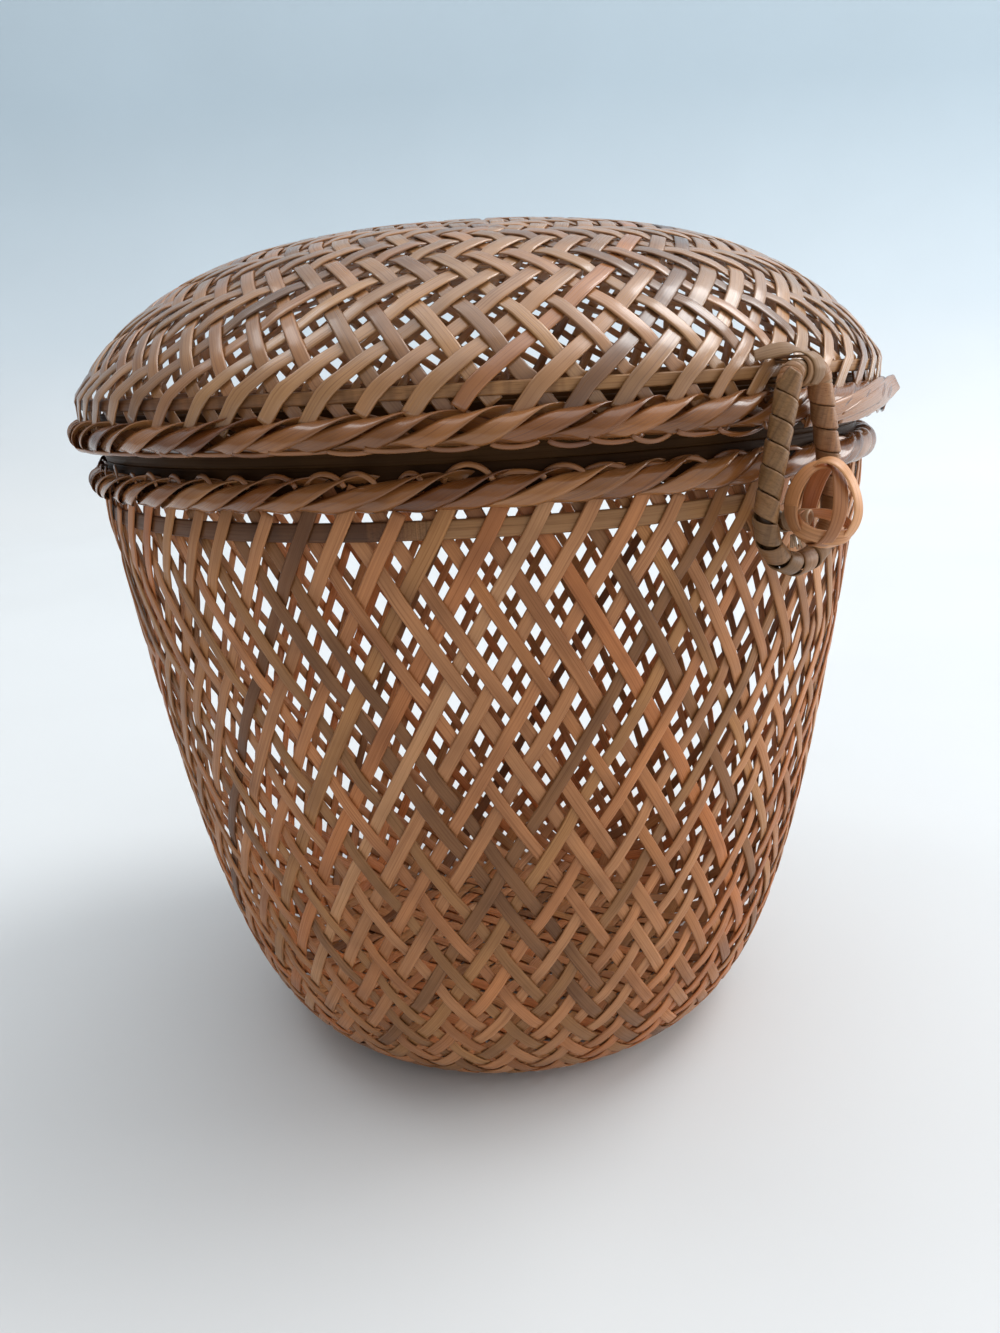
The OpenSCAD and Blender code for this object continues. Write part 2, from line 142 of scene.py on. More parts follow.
class Ribbons:
    """Flat splints gathered into one mesh, with their own coordinates for the grain."""

    # which points of a splint's section lie on its inner face
    INNER = [0, 1, 1, 0, 0, 0, 0, 0]

    def __init__(self):
        self.verts = []
        self.faces = []
        self.fibre = []
        self.inner = []
        self.count = 0

    def add(self, line, normal, width, thick, tone, crown=0.06, closed=False, edge=0.2):
        """A splint along a line; its outer face looks along the normals and is crowned."""
        n = len(line)
        if closed:
            tangent = np.roll(line, -1, 0) - np.roll(line, 1, 0)
        else:
            tangent = np.gradient(line, axis=0)
        tangent = unit(tangent)
        across = unit(np.cross(normal, tangent))
        up = np.cross(tangent, across)
        half = np.broadcast_to(width, (n,)) / 2
        edge = np.minimum(edge, half * 0.4)
        low = -thick / 2
        high = thick / 2 - crown
        ridge = thick / 2 - crown * 0.3
        offsets = [-half, edge - half, half - edge, half,
                   half - edge, half - 2 * edge, 2 * edge - half, edge - half]
        heights = [-crown, low, low, -crown, high, ridge, ridge, high]
        rings = np.stack([line + across * a[:, None] + up * h for a, h in zip(offsets, heights)], 1)
        along = distances(line)
        tones = np.broadcast_to(tone, (n,))
        fibre = np.stack([np.stack([along, a, tones], -1) for a in offsets], 1)
        self.verts.append(rings.reshape(-1, 3))
        self.fibre.append(fibre.reshape(-1, 3))
        self.inner.append(np.tile(self.INNER, n))
        sides = len(offsets)
        rows = (self.count + np.arange(n * sides).reshape(n, sides)).tolist()
        next_rows = rows[1:] + rows[:1] if closed else rows[1:]
        for near, far in zip(rows, next_rows):
            for k in range(sides):
                m = (k + 1) % sides
                self.faces.append((near[k], near[m], far[m], far[k]))
        if not closed:
            self.faces.append(tuple(reversed(rows[0])))
            self.faces.append(tuple(rows[-1]))
        self.count += n * sides

    def make(self, name, material, body, slot, replaces):
        """One piece from all the splints, in the place of the solids that it replaces."""
        mesh = bpy.data.meshes.new(name)
        mesh.from_pydata((np.concatenate(self.verts) * MM).tolist(), [], self.faces)
        fibre = mesh.attributes.new("fibre", "FLOAT_VECTOR", "POINT")
        fibre.data.foreach_set("vector", np.concatenate(self.fibre).astype(np.float32).ravel())
        inner = mesh.attributes.new("inner", "FLOAT", "POINT")
        inner.data.foreach_set("value", np.concatenate(self.inner).astype(np.float32))
        mesh.polygons.foreach_set("use_smooth", np.ones(len(mesh.polygons), bool))
        mesh.validate()
        mesh.update()
        mesh.materials.append(material)
        piece = bpy.data.objects.new(name, mesh)
        bpy.context.scene.collection.objects.link(piece)
        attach(piece, body)
        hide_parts(*replaces)


class Profile:
    """A surface of revolution, by the distance along its outline from its middle."""

    STEPS = 1600
    # the depth of the splints' middle in the wall changes between these distances
    DEPTH_FROM_TO = [90, 150]

    def __init__(self, outline, facing, depths):
        points = np.asarray(outline, float)
        run = distances(points)
        self.s = np.linspace(0, run[-1], self.STEPS)
        r = np.interp(self.s, run, points[:, 0])
        z = np.interp(self.s, run, points[:, 1])
        dr = np.gradient(r, self.s)
        dz = np.gradient(z, self.s)
        length = np.hypot(dr, dz)
        self.nr = facing * dz / length
        self.nz = -facing * dr / length
        inset = np.interp(self.s, self.DEPTH_FROM_TO, depths)
        self.r = r - inset * self.nr
        self.z = z - inset * self.nz

    def at(self, s, what):
        return np.interp(s, self.s, what)

    def place(self, s, theta, height):
        """Points at a height off the surface, and its outward normals."""
        nr = self.at(s, self.nr)
        nz = self.at(s, self.nz)
        r = self.at(s, self.r) + height * nr
        z = self.at(s, self.z) + height * nz
        return polar(r, theta, z), polar(nr, theta, nz)

    def s_at_height(self, z):
        """Where a wall that only rises has this height."""
        order = np.argsort(self.z)
        return np.interp(z, self.z[order], self.s[order])


def body_profile():
    u = np.linspace(0, 1, 400)
    r = BASE_R + (NECK_R - BASE_R) * u ** (3 * BELLY_POWER)
    curve = np.stack([r, BELLY_H * u ** 3], 1)
    base_depth = 0.7
    return Profile(np.concatenate([[[0, 0]], curve, [[NECK_R, BODY_TOP]]]), 1, (base_depth, WALL_T / 2))


def lid_profile():
    # the steps are closer together towards the dome's shoulder
    v = np.sin(np.linspace(0, 1, 400) * np.pi / 2) ** 0.8
    dome = np.stack([LID_R * v, DOME_Z + DOME_H * (1 - v ** DOME_POWER) ** DOME_ROUND], 1)
    top_depth = 0.75
    return Profile(np.concatenate([dome, [[LID_R, LID_LOW]]]), -1, (top_depth, WALL_T / 2))


# Plaiting

class Plait:
    """A square mat whose corners are turned up, so that every splint's two ends go up the wall,
    one leaning right (/) and one leaning left (\\)."""

    # each splint's own shift grows to its full size over this many rows
    SHIFT_ROWS = 6.0
    # points from one crossing to the next
    STEPS = 4

    def __init__(self, profile, count, fixed_row, fixed_s, top_s, lean, twist, loose):
        self.profile = profile
        self.count = count
        self.quarter = count // 4
        # rows of crossings from the hoop to the base, or to the top of the dome
        rows = [top_s]
        while rows[-1] > fixed_s:
            s = rows[-1]
            radius = profile.at(s, profile.r) + WALL_T / 2
            rows.append(s - math.pi * radius / count / math.tan(math.radians(lean(s))))
        last = len(rows) - 1 if fixed_s - rows[-1] < rows[-2] - fixed_s else len(rows) - 2
        self.fixed_row = fixed_row
        self.top_row = fixed_row + last
        self.twist = twist
        rest = fixed_s - rows[last]
        self.rows = {self.top_row - i: rows[i] + rest * (i / last) ** 3 for i in range(last + 1)}
        self.shift = {"/": rng.normal(0, loose, count), "\\": rng.normal(0, loose, count)}
        offsets = np.arange(-self.quarter + 0.5, self.quarter)
        self.paths = [self.path(along_x, offset) for along_x in (True, False) for offset in offsets]
        self.nodes = {}
        self.solve()

    def name_of(self, a, b):
        """A crossing of the mat by its place: inside the base, or on the wall's first row."""
        q = self.quarter
        if abs(a) + abs(b) < q:
            return ("mat", a, b)
        if b > 0:
            place = b if a > 0 else q - a
        else:
            place = 3 * q + a if a > 0 else 2 * q - b
        return ("wall", 0, int(place - 0.5) % self.count)

    def wall_name(self, kind, number, row):
        """A crossing of the wall, by one of its two splints."""
        shift = row if kind == "\\" else 0
        return ("wall", row, (number - shift) % self.count)

    def wall_place(self, row, number):
        """Angle and distance of a wall crossing, with each splint's own shift."""
        share = np.clip((row - self.fixed_row) / self.SHIFT_ROWS, 0, 1)
        right = self.shift["/"][number] * share
        left = self.shift["\\"][(number + row) % self.count] * share
        angle = TURN * (number + 0.5 + (row - self.top_row) / 2) / self.count + (right + left) / 2
        upper = min(row + 1, self.top_row)
        step = self.rows[upper] - self.rows[upper - 1]
        return angle, self.rows[row] + (left - right) / 2 / (math.pi / self.count) * step

    def ends(self, along_x, offset):
        """The kind and number of a mat splint's two ends, first the negative one."""
        q, c = self.quarter, abs(offset)
        if along_x:
            pair = [("/", 2 * q - c), ("\\", c)] if offset > 0 else [("\\", 2 * q + c), ("/", 4 * q - c)]
        else:
            pair = [("\\", 3 * q + c), ("/", q - c)] if offset > 0 else [("/", 3 * q - c), ("\\", q + c)]
        return [(kind, int(t - 0.5) % self.count) for kind, t in pair]

    def path(self, along_x, offset):
        """The crossings along a mat splint, from one end's top to the other's, and its kind at each."""
        (kind0, number0), (kind1, number1) = self.ends(along_x, offset)
        span = self.quarter - abs(offset)
        names = [self.wall_name(kind0, number0, row) for row in range(self.top_row, 0, -1)]
        kinds = [kind0] * self.top_row
        for t in np.arange(-span, span + 0.5):
            a, b = (t, offset) if along_x else (offset, t)
            names.append(self.name_of(a, b))
            kinds.append(kind0 if t < 0 else kind1)
        names += [self.wall_name(kind1, number1, row) for row in range(1, self.top_row + 1)]
        kinds += [kind1] * self.top_row
        return names, kinds

    def solve(self):
        """Crossings of the base settle midway between their neighbours along both splints."""
        links = {}
        for path in self.paths:
            for first, second in zip(path[0], path[0][1:]):
                links.setdefault(first, set()).add(second)
                links.setdefault(second, set()).add(first)
        free = [name for name in links if name[0] == "mat" or name[1] < self.fixed_row]
        index = {name: i for i, name in enumerate(free)}
        for name in links:
            if name not in index:
                angle, s = self.wall_place(name[1], name[2])
                self.nodes[name] = s * np.array([math.sin(angle), -math.cos(angle)])
        matrix = np.zeros((len(free), len(free)))
        right = np.zeros((len(free), 2))
        for name, i in index.items():
            for other in links[name]:
                matrix[i, i] += 1
                if other in index:
                    matrix[i, index[other]] -= 1
                else:
                    right[i] += self.nodes[other]
        found = np.linalg.solve(matrix, right)
        for name, i in index.items():
            self.nodes[name] = found[i]

    def crossing(self, name):
        """Row, and the numbers of the right-leaning and left-leaning splints at a crossing."""
        if name[0] == "wall":
            return name[1], name[2], (name[1] + name[2]) % self.count
        q, a, b = self.quarter, name[1], name[2]
        row = abs(a) + abs(b) - q
        if a > 0 and b > 0:
            right, left = q - a, b
        elif a < 0 < b:
            right, left = 2 * q - b, q - a
        elif a < 0:
            right, left = 3 * q + a, 2 * q - b
        else:
            right, left = 4 * q + b, 3 * q + a
        return int(row), int(right - 0.5), int(left - 0.5)

    def side(self, name, kind, left_is_over):
        """How far a splint lies off the wall's middle; at the top row the hoop is between the layers."""
        row, right, left = self.crossing(name)
        below_top = self.top_row - row
        lift = HOOP_LIFT if below_top == 0 else LIFT
        return lift if left_is_over(below_top, right, left) == (kind == "\\") else -lift

    def weave(self, width, left_is_over, tail, widen):
        """All the splints, over and under.

        The tail is how far their ends run on, in crossings, and widen is their width's factors at
        distances from the middle."""
        ribbons = Ribbons()
        for names, kinds in self.paths:
            flat = np.array([self.nodes[name] for name in names])
            over = np.array([self.side(name, kind, left_is_over) for name, kind in zip(names, kinds)])
            # the ends run on straight into the border
            first = flat[0] + (flat[0] - flat[1]) * tail
            last = flat[-1] + (flat[-1] - flat[-2]) * tail
            flat = np.concatenate([[first], flat, [last]])
            over = np.concatenate([[over[0]], over, [over[-1]]])
            spans = len(flat) - 1
            t = np.linspace(0, spans, spans * self.STEPS + 1)
            i = np.minimum(t.astype(int), spans - 1)
            share = t - i
            curve = between(flat[np.maximum(i - 1, 0)], flat[i], flat[i + 1],
                            flat[np.minimum(i + 2, spans)], share[:, None])
            ease = 0.5 - 0.5 * np.cos(np.pi * share)
            height = over[i] + (over[i + 1] - over[i]) * ease
            s = np.hypot(curve[:, 0], curve[:, 1])
            angle = np.arctan2(curve[:, 0], -curve[:, 1]) + self.twist(s)
            point, normal = self.profile.place(s, angle, height)
            tone = random_tone(WEAVE_SPREAD)
            # no two splints are split to quite the same width
            own = width * (1 + rng.normal(0, 0.045))
            wander = 1 + 0.03 * np.sin(t * 0.31 + tone * 40)
            ribbons.add(point, normal, own * wander * np.interp(s, *widen), SPLINT_T, tone)
        return ribbons


# Materials

def new_material(name):
    material = bpy.data.materials.new(name)
    material.use_nodes = True
    return material, material.node_tree, material.node_tree.nodes["Principled BSDF"]


def node(tree, kind, **values):
    made = tree.nodes.new(kind)
    for key, value in values.items():
        setattr(made, key, value)
    return made


def set_inputs(made, values):
    for name, value in values.items():
        made.inputs[name].default_value = value


def ramp(tree, source, stops):
    made = node(tree, "ShaderNodeValToRGB")
    elements = made.color_ramp.elements
    while len(elements) < len(stops):
        elements.new(0.5)
    for element, (place, colour) in zip(elements, stops):
        element.position = place
        element.color = (*colour, 1)
    tree.links.new(source, made.inputs[0])
    return made.outputs[0]


def noise(tree, vector, detail, rough=0.5, scale=1.0):
    made = node(tree, "ShaderNodeTexNoise")
    set_inputs(made, {"Scale": scale, "Detail": detail, "Roughness": rough})
    tree.links.new(vector, made.inputs["Vector"])
    return made.outputs["Fac"]


def scaled(tree, vector, factors):
    made = node(tree, "ShaderNodeVectorMath", operation="MULTIPLY")
    tree.links.new(vector, made.inputs[0])
    made.inputs[1].default_value = factors
    return made.outputs[0]


def height_of(tree, vector):
    """The third part of a vector."""
    parts = node(tree, "ShaderNodeSeparateXYZ")
    tree.links.new(vector, parts.inputs[0])
    return parts.outputs["Z"]


def multiplied(tree, amount, first, second):
    """The first colour, multiplied by the second as far as the amount says."""
    made = node(tree, "ShaderNodeMix", data_type="RGBA", blend_type="MULTIPLY")
    if isinstance(amount, float):
        made.inputs[0].default_value = amount
    else:
        tree.links.new(amount, made.inputs[0])
    tree.links.new(first, made.inputs[6])
    if isinstance(second, tuple):
        made.inputs[7].default_value = (*second, 1)
    else:
        tree.links.new(second, made.inputs[7])
    return made.outputs[2]


def fibre_relief(tree, shader, height, strength):
    bump = node(tree, "ShaderNodeBump")
    set_inputs(bump, {"Strength": strength, "Distance": 0.2 * MM})
    tree.links.new(height, bump.inputs["Height"])
    tree.links.new(bump.outputs[0], shader.inputs["Normal"])


def bamboo(name, tones, rough=(0.34, 0.56), coat=0.05, coat_rough=0.32, shine=0.35):
    """Split bamboo: a tone for each splint, patches along it, fibres in its length and a satin skin."""
    material, tree, shader = new_material(name)
    fibre = node(tree, "ShaderNodeAttribute", attribute_name="fibre").outputs["Vector"]
    tone = ramp(tree, height_of(tree, fibre), tones)
    patches = noise(tree, scaled(tree, fibre, (0.045, 0.05, 61.0)), 3.0)
    patch = ramp(tree, patches, [(0.3, (0.62, 0.58, 0.54)), (0.52, (1, 1, 1)), (0.75, (1.22, 1.18, 1.1))])
    colour = multiplied(tree, 1.0, tone, patch)
    lines = noise(tree, scaled(tree, fibre, (0.035, 3.2, 47.0)), 3.0, 0.6)
    line = ramp(tree, lines, [
        (0.3, (0.5, 0.4, 0.3)), (0.42, (0.86, 0.8, 0.74)), (0.55, (1, 1, 1)), (0.72, (1.16, 1.15, 1.12))])
    colour = multiplied(tree, 0.72, colour, line)
    # the splint's inner face is paler than its skin, as split bamboo is, and is painted lighter still:
    # painted light for the light that comes through the weave onto the inside of the far wall
    inner = node(tree, "ShaderNodeAttribute", attribute_name="inner").outputs["Fac"]
    colour = multiplied(tree, inner, colour, (1.3, 1.36, 1.45))
    tree.links.new(colour, shader.inputs["Base Color"])
    # dark fibres are duller
    gloss = node(tree, "ShaderNodeMapRange")
    set_inputs(gloss, {"From Min": 0.3, "From Max": 0.7, "To Min": rough[1], "To Max": rough[0]})
    tree.links.new(lines, gloss.inputs["Value"])
    tree.links.new(gloss.outputs[0], shader.inputs["Roughness"])
    fibre_relief(tree, shader, lines, 0.25)
    set_inputs(shader, {"Specular IOR Level": shine, "Coat Weight": coat, "Coat Roughness": coat_rough})
    return material


def grained(name, dark, light, scale, rough):
    """The same bamboo for a solid that has no splint coordinates."""
    material, tree, shader = new_material(name)
    place = node(tree, "ShaderNodeTexCoord").outputs["Object"]
    grain = noise(tree, scaled(tree, place, scale), 4.0, 0.6)
    tree.links.new(ramp(tree, grain, [(0.3, dark), (0.7, light)]), shader.inputs["Base Color"])
    fibre_relief(tree, shader, grain, 0.3)
    shader.inputs["Roughness"].default_value = rough
    return material


body_bamboo = bamboo("body_bamboo", [
    (0.0, (0.165, 0.068, 0.026)), (0.12, (0.23, 0.1, 0.037)), (0.3, (0.38, 0.178, 0.064)),
    (0.48, (0.38, 0.15, 0.054)), (0.62, (0.44, 0.2, 0.085)), (0.78, (0.44, 0.146, 0.042)),
    (1.0, (0.5, 0.25, 0.115))], rough=(0.36, 0.56), coat=0.06, shine=0.25)
lid_bamboo = bamboo("lid_bamboo", [
    (0.0, (0.16, 0.068, 0.024)), (0.14, (0.24, 0.11, 0.04)), (0.34, (0.36, 0.185, 0.073)),
    (0.55, (0.35, 0.158, 0.06)), (0.78, (0.42, 0.22, 0.092)), (1.0, (0.38, 0.14, 0.04))],
    rough=(0.24, 0.42), coat=0.6, coat_rough=0.2, shine=0.5)
# the hoop's lighter tones are painted light, brighter than its own colour, against the shade of the splints
# over it
hoop_bamboo = bamboo("hoop_bamboo", [
    (0.0, (0.08, 0.03, 0.01)), (0.4, (0.16, 0.065, 0.023)), (1.0, (0.42, 0.22, 0.09))], coat=0.1, shine=0.25)
border_bamboo = bamboo("border_bamboo", [
    (0.0, (0.14, 0.043, 0.01)), (0.4, (0.235, 0.084, 0.022)), (1.0, (0.37, 0.16, 0.054))],
    rough=(0.2, 0.4), coat=0.6, coat_rough=0.12, shine=0.26)
# near black: painted shade of the narrow gap between lid and body where the collar stands
collar_painted_shade = bamboo("collar_painted_shade", [
    (0.0, (0.034, 0.014, 0.005)), (1.0, (0.062, 0.029, 0.01))], coat=0.0, shine=0.04)
knob_bamboo = bamboo("knob_bamboo", [
    (0.0, (0.34, 0.13, 0.045)), (1.0, (0.64, 0.31, 0.135))], rough=(0.32, 0.5), shine=0.4)
# the palest tone, at 1.0, is painted light for the knob's stem wrapping, which lies in the shade inside the
# cage
wrap_bamboo = bamboo("wrap_bamboo", [
    (0.0, (0.145, 0.066, 0.023)), (0.45, (0.23, 0.122, 0.05)), (0.7, (0.33, 0.15, 0.062)),
    (0.85, (0.32, 0.18, 0.085)), (1.0, (0.54, 0.4, 0.26))], rough=(0.36, 0.54))
pin_bamboo = grained("pin_bamboo", (0.16, 0.08, 0.035), (0.3, 0.17, 0.08), (300, 2600, 2600), 0.45)
# the loop's core is near black: painted shade in the narrow gaps between the winding's turns
core_painted_shade = grained("core_painted_shade", (0.05, 0.024, 0.01), (0.1, 0.05, 0.02), (2200, 2200, 300), 0.5)


# Plaited bowl and dome

def body_left_is_over(below_top, right, left):
    """Long floats in the open rows under the hoop, and twos over twos below them."""
    if below_top <= 1:
        return False
    if below_top <= 4:
        return True
    if below_top <= 6:
        return False
    return (right + left) % 4 < 2


def lid_left_is_over(below_top, right, left):
    """Rows of twos over twos, all round."""
    return below_top % 4 < 2


def weave_body():
    wall = body_profile()
    base_s = 71.0
    plait = Plait(
        wall, SPLINTS, fixed_row=4, fixed_s=base_s, top_s=wall.s_at_height(sum(BODY_HOOP_Z) / 2),
        lean=lambda s: np.interp(s, [base_s, 105], [45, BODY_LEAN]),
        twist=lambda s: 0, loose=math.radians(0.42))
    ribbons = plait.weave(BODY_SPLINT_W, body_left_is_over, tail=0.75, widen=([60, 110], [1.22, 1]))
    ribbons.make("body_plaiting", body_bamboo, "basket", "body_splint", ["body_weave"])


def weave_lid():
    """The dome's outline runs downwards, so its splints lean the other way round."""
    dome = lid_profile()
    hoop_s = float(dome.s[-1]) - (sum(LID_HOOP_Z) / 2 - LID_LOW)
    top_s = 66.0
    plait = Plait(
        dome, SPLINTS, fixed_row=3, fixed_s=top_s, top_s=hoop_s,
        lean=lambda s: np.interp(s, [top_s, 85], [46, LID_LEAN]),
        twist=lambda s: math.radians(LID_TWIST) * np.clip(hoop_s - s, 0, 25), loose=math.radians(0.38))
    ribbons = plait.weave(LID_SPLINT_W, lid_left_is_over, tail=0.85, widen=([60, 100], [1.08, 1]))
    ribbons.make("lid_plaiting", lid_bamboo, "lid", "lid_splint", ["lid_weave"])


weave_body()
weave_lid()


# Hoops, collar and borders

def ring(radius, z):
    """A level circle, its outward normals and the angles of its points."""
    angle = np.linspace(0, TURN, 240, endpoint=False)
    return polar(radius, angle, z), polar(1.0, angle, 0.0), angle


def hoop(name, wall_r, z, painted_light_and_shade, body_name, node_name):
    """A flat hoop between the layers; its tones are given at angles from the closure, as painted shade where
    the hoop lies in shadow and painted light where light falls on it.
    """
    ribbons = Ribbons()
    line, normal, angle = ring(wall_r - WALL_T / 2, sum(z) / 2)
    line[:, 2] += 0.12 * np.sin(3 * angle + 1) + 0.08 * np.sin(7 * angle)
    tone = np.interp((np.degrees(angle) + 180) % 360 - 180, *painted_light_and_shade)
    play = 0.2
    ribbons.add(line, normal, z[1] - z[0] - play, thick=0.72, tone=tone, crown=0.1, closed=True)
    ribbons.make(name, hoop_bamboo, body_name, "hoop_splint", [node_name])


def collar():
    """Flat bands one above the other, each lapping the next."""
    ribbons = Ribbons()
    bands = 3
    band_h = (COLLAR_Z[1] - COLLAR_Z[0]) / bands
    lap = 0.3
    stagger = 0.12
    for i in range(bands):
        radius = sum(COLLAR_R) / 2 + stagger * (i % 2)
        line, normal, angle = ring(radius, COLLAR_Z[0] + band_h * (i + 0.5))
        line[:, 2] += 0.05 * np.sin(5 * angle + 2 * i)
        ribbons.add(line, normal, band_h + lap, thick=0.75, tone=rng.random(), crown=0.08, closed=True)
    ribbons.make("collar_bands", collar_painted_shade, "basket", "collar_splint", ["body_collar"])


def border(rim, rise, half_h):
    """A rolled border: each end of the plaiting winds on round the rim's section and tucks in."""
    ribbons = Ribbons()
    centre_r = rim[0] - RIM_W / 2
    centre_z = rim[1] + rise
    half_w = RIM_W / 2 - 0.6
    turns = 1.12
    # a whole turn takes a strand past this many of its neighbours
    passed = 4
    t = np.linspace(0, 1, 48)
    phi = math.radians(-150) + turns * TURN * t
    # a strand sinks in and narrows over this share of its length at each end
    end = 0.08
    sunk = 0.8 * (np.clip(end - t, 0, 1) + np.clip(t - (1 - end), 0, 1)) / end
    # narrow where it folds under the lower edge, wide where it comes over the top
    width = (3.7 + 0.6 * np.sin(phi)) * np.interp(t, [0, end, 1 - end, 1], [0.7, 1, 1, 0.6])
    out = unit(np.stack([np.cos(phi) / half_w, np.sin(phi) / half_h], -1))
    for k in range(SPLINTS):
        place, sag, roll, late = rng.normal(0, 1, 4)
        theta = TURN * (k + 0.5 + 0.1 * place + passed * turns * (t - 0.35)) / SPLINTS
        theta = theta + 0.01 * late * np.sin(phi)
        # the strands stand off most where they come over the upper edge
        off = 0.35 * np.sin(phi - 0.3) ** 3 + 0.14 * sag * np.sin(phi) - sunk
        line = polar(centre_r + (half_w + off) * np.cos(phi), theta, centre_z + (half_h + off) * np.sin(phi))
        normal = polar(out[:, 0], theta, out[:, 1])
        # each strand lies with one edge on its neighbour
        tangent = unit(np.gradient(line, axis=0))
        normal = normal + (0.26 + 0.08 * roll) * np.cross(normal, tangent)
        tone = random_tone(BORDER_SPREAD)
        ribbons.add(line, normal, width, thick=0.62, tone=tone, crown=0.3, edge=0.5)
    return ribbons


def edge_loops(ribbons, radius, z, rise, length, width, lean, fade):
    """The small loops that the strands leave along a border's edge; fade is their height at angles."""
    t = np.linspace(0, 1, 18)
    arch = np.sin(np.pi * t) ** 0.6
    for k in range(SPLINTS):
        place, reach, height = rng.normal(0, 1, 3)
        share = np.interp((360 * k / SPLINTS + 180) % 360 - 180, *fade)
        theta = TURN * (k + 0.12 * place + length * (1 + 0.14 * reach) * (t - 0.5)) / SPLINTS
        line = polar(radius + lean * (t - 0.5), theta, z + rise * share * (1 + 0.2 * height) * arch)
        normal = polar(1.0, theta, 0.4 * np.sign(rise) * arch)
        ribbons.add(line, normal, width, thick=0.34, tone=random_tone(BORDER_SPREAD))


def loose_strands(ribbons):
    """Broad strands laid over the lid's border right of the closure, one with its end standing off."""
    t = np.linspace(0, 1, 30)
    width = np.interp(t, [0, 0.2, 0.85, 1], [2.6, 4.4, 4.6, 3.6])
    # each strand's first and last angle, first and last height, and how far its end stands off
    strands = [(3, 26, 158.6, 163.8, 0.2), (10, 33, 158.4, 163.8, 1.6)]
    for first, last, low, high, off in strands:
        theta = np.radians(first + (last - first) * t)
        r = LID_RIM[0] - 0.7 + 0.5 * np.sin(np.pi * t) + off * (np.clip(t - 0.7, 0, 1) / 0.3) ** 2
        line = polar(r, theta, low + (high - low) * t)
        normal = polar(1.0, theta, 0.9 * (t - 0.45))
        ribbons.add(line, normal, width, thick=0.4, tone=0.75, crown=0.12)


def body_border():
    ribbons = border(BODY_RIM, rise=3.1, half_h=2.6)
    edge_loops(ribbons, BODY_RIM[0] - 2.8, BODY_RIM[1] + 4.9, rise=2.4, length=0.92, width=1.1, lean=1.6,
               fade=([-110, -40, 0, 180], [1, 0.9, 0.5, 0.5]))
    ribbons.make("body_border", border_bamboo, "basket", "border_splint", ["body_rim"])


def lid_border():
    ribbons = border(LID_RIM, rise=3.8, half_h=2.55)
    edge_loops(ribbons, LID_RIM[0] - 1.7, LID_RIM[1] + 1.6, rise=-1.2, length=1.15, width=1.0, lean=-1.2,
               fade=([-100, -60, -15, 180], [0.3, 0.4, 1, 0.8]))
    loose_strands(ribbons)
    ribbons.make("lid_border", border_bamboo, "lid", "border_splint", ["lid_rim"])


# the body's hoop: painted shade left of the closure, then painted light towards the right
hoop("body_hoop_splint", NECK_R, BODY_HOOP_Z, ([-180, -47, -41, 60, 180], [0.3, 0.12, 0.7, 0.8, 0.3]),
     "basket", "body_hoop")
# the lid's hoop: painted highlight on its front and right
hoop("lid_hoop_splint", LID_R, LID_HOOP_Z, ([-180, -75, -25, 40, 180], [0.3, 0.35, 0.85, 0.9, 0.3]),
     "lid", "lid_hoop")
collar()
body_border()
lid_border()


# Closure loop: a rod, wound with a splint, in two lashings on the lid

class Loop:
    """The rod's middle line as in the solids: a bar, two shoulders, two legs and a bend."""

    # half the straight bar, the radius of the shoulders, and the winding's clearance round the knob
    BAR = 2.1
    SHOULDER = 2.2
    CLEARANCE = 0.35

    def __init__(self):
        self.drop = math.hypot(KNOB_Y - LOOP_Y, LOOP_Z - KNOB_Z)
        self.bend = KNOB_R + self.CLEARANCE + WRAP_OUT
        run = self.drop - self.SHOULDER
        span = math.hypot(run, self.BAR)
        self.tilt = math.asin((self.bend - self.SHOULDER) / span) - math.atan(self.BAR / run)
        leg = math.sqrt(span ** 2 - (self.bend - self.SHOULDER) ** 2)
        turned = (math.pi / 2 - self.tilt) * self.SHOULDER
        arc = (math.pi + 2 * self.tilt) * self.bend
        self.marks = np.cumsum([turned, leg, arc, leg, turned])

    def line(self, s):
        """Points and outward directions at distances from the left end of the bar."""
        bottom = np.array([0, LOOP_Y, LOOP_Z - self.drop])
        left = np.array([-self.BAR, LOOP_Y, LOOP_Z - self.SHOULDER])
        right = np.array([self.BAR, LOOP_Y, LOOP_Z - self.SHOULDER])
        left_leg = math.pi - self.tilt
        right_leg = TURN + self.tilt
        shoulder_end, leg_end, bend_end, rise_end = self.marks[:4]
        points, outs = [], []
        for d in s:
            past = 0
            centre, radius = bottom, self.bend
            if d < leg_end:
                centre, radius = left, self.SHOULDER
                angle = min(math.pi / 2 + d / radius, left_leg)
                past = max(d - shoulder_end, 0)
            elif d < bend_end:
                angle = left_leg + (d - leg_end) / radius
            elif d < rise_end:
                angle = right_leg
                past = d - bend_end
            else:
                centre, radius = right, self.SHOULDER
                angle = right_leg + (d - rise_end) / radius
            out = np.array([math.cos(angle), 0, math.sin(angle)])
            along = np.array([-math.sin(angle), 0, math.cos(angle)])
            points.append(centre + radius * out + past * along)
            outs.append(out)
        return np.array(points), np.array(outs)


